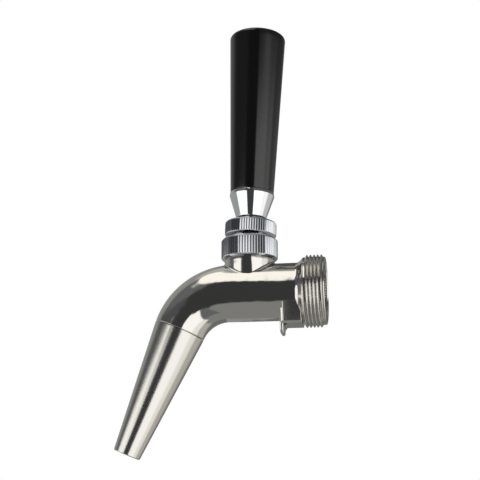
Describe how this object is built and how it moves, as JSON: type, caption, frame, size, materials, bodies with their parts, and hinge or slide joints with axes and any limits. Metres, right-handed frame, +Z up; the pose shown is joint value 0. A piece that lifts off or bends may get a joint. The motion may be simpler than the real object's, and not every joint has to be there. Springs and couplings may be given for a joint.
{
  "type": "beer tap",
  "caption": "Forward-sealing stainless beer tap with a threaded rear coupling, knurled bonnet and collar, tapered black handle and a long conical spout.",
  "frame": {"origin": "centre of the rear end face, on the axis of the coupling thread", "axes": "+Y backwards into the shank along the thread axis, -Y forwards over the glass, +Z up along the handle, +X to the tap's left as the drinker sees it"},
  "size_m": [0.0286, 0.0831, 0.1747],
  "materials": {
    "polished_steel": "polished stainless steel",
    "satin_steel": "satin stainless steel with fine turning lines",
    "turned_steel": "turned stainless steel",
    "chrome": "bright chrome plate",
    "brass": "plain turned brass",
    "black_plastic": "glossy moulded black plastic",
    "black_rubber": "matt moulded rubber",
    "white_acetal": "machined white acetal"
  },
  "bodies": {
    "faucet": {"body": "polished_steel", "coupling_washer": "black_rubber", "ball_seal_ring": "black_rubber", "bearing_cup": "white_acetal", "friction_washer": "white_acetal"},
    "spout": {"spout": "satin_steel", "spout_ring": "black_rubber"},
    "shuttle": {"shuttle": "turned_steel", "front_seal_ring": "black_rubber"},
    "bonnet": {"bonnet": "chrome"},
    "lever": {"lever": "turned_steel"},
    "lever_collar": {"lever_collar": "chrome"},
    "handle": {"ferrule": "chrome", "threaded_insert": "brass", "hanger_bolt": "turned_steel", "handle": "black_plastic"}
  },
  "joints": [
    {"name": "lever_tilt", "type": "hinge", "parent": "faucet", "child": "lever", "pos_m": [0, -0.03027, 0.013], "axis": [1, 0, 0], "range_deg": [0, 30]},
    {"name": "shuttle_slide", "type": "slide", "parent": "faucet", "child": "shuttle", "axis": [0, 1, 0], "range_m": [0, 0.0066]},
    {"name": "bonnet_turn", "type": "hinge", "parent": "faucet", "child": "bonnet", "pos_m": [0, -0.03027, 0.013], "axis": [0, 0, 1], "range_deg": [0, 90]},
    {"name": "collar_turn", "type": "hinge", "parent": "lever", "child": "lever_collar", "pos_m": [0, -0.03027, 0.013], "axis": [0, 0.0384, 0.9993], "range_deg": [-180, 0]},
    {"name": "handle_turn", "type": "hinge", "parent": "lever", "child": "handle", "pos_m": [0, -0.03027, 0.013], "axis": [0, 0.0384, 0.9993], "range_deg": [0, 360]},
    {"name": "spout_turn", "type": "hinge", "parent": "faucet", "child": "spout", "pos_m": [0, -0.05811, -0.0142], "axis": [0, -0.3875, -0.9219], "range_deg": [0, 180]}
  ],
  "couplings": [
    {"joint": "shuttle_slide", "follows": "lever_tilt", "m_per_rad": 0.01253}
  ]
}
